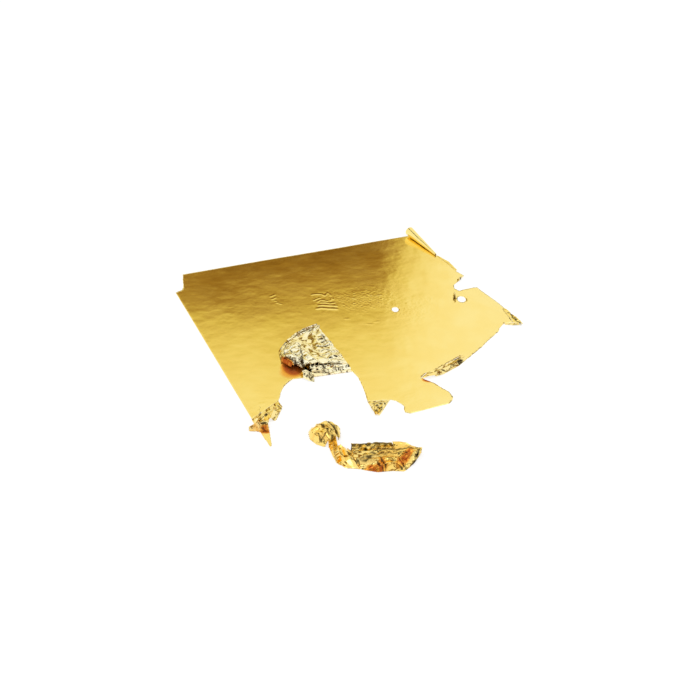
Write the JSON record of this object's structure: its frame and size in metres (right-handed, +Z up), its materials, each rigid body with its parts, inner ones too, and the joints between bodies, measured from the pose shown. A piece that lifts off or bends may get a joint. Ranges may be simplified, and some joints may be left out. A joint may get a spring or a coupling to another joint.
{
  "type": "torn metal leaf sheet",
  "caption": "Torn square of gold-coloured metal leaf lying flat, with a folded-back flap, a rolled edge and a loose crumpled scrap in front.",
  "frame": {"origin": "centre of the sheet's own corner-to-corner square, on its underside, which lies on the table", "axes": "+Z up from the table, +X along the sheet's far straight edge, +Y away from the torn front edge"},
  "size_m": [0.1435, 0.1697, 0.0053],
  "materials": {
    "leaf_face": "burnished leaf face, mirror-like with a fine satin grain",
    "leaf_creased": "sharply creased bright leaf",
    "leaf_reverse": "paler reverse of the leaf, finely crumpled",
    "scrap_leaf": "tightly crumpled bright leaf"
  },
  "bodies": {
    "leaf": {"leaf_field": "leaf_face", "corner_pleats": "leaf_creased", "corner_tent": "leaf_creased", "corner_spike": "leaf_face", "side_hem": "leaf_face", "notch_curl": "leaf_creased", "pinhole_curl": "leaf_creased", "point_lip": "leaf_face", "point_front_lip": "leaf_creased", "tear_mouth": "leaf_creased", "tear_ridge": "leaf_creased", "tab_crumple": "leaf_creased", "crease_tail": "leaf_creased"},
    "front_flap": {"flap_front_pleats": "leaf_reverse", "flap_face": "leaf_reverse", "flap_tip": "leaf_reverse", "flap_ruffle": "leaf_reverse", "flap_back_hem": "leaf_reverse"},
    "rolled_edge": {"edge_roll": "leaf_face", "roll_inner_turn": "leaf_face"},
    "scrap": {"scrap_head": "scrap_leaf", "scrap_head_band": "scrap_leaf", "scrap_neck": "scrap_leaf", "scrap_belly": "scrap_leaf", "scrap_pleats": "scrap_leaf", "scrap_front_folds": "scrap_leaf", "scrap_tip": "scrap_leaf"}
  },
  "joints": [
    {"name": "flap_fold", "type": "hinge", "parent": "leaf", "child": "front_flap", "pos_m": [-0.03077, -0.03374, 0.00007], "axis": [0.9908, -0.1355, 0], "range_deg": [0, 110]},
    {"name": "roll_open", "type": "hinge", "parent": "leaf", "child": "rolled_edge", "pos_m": [0.066, 0.0573, 0.00007], "axis": [0, 1, 0], "range_deg": [0, 85]},
    {"name": "scrap_lift", "type": "slide", "parent": "leaf", "child": "scrap", "axis": [0, 0, 1], "range_m": [0, 0.03]}
  ]
}
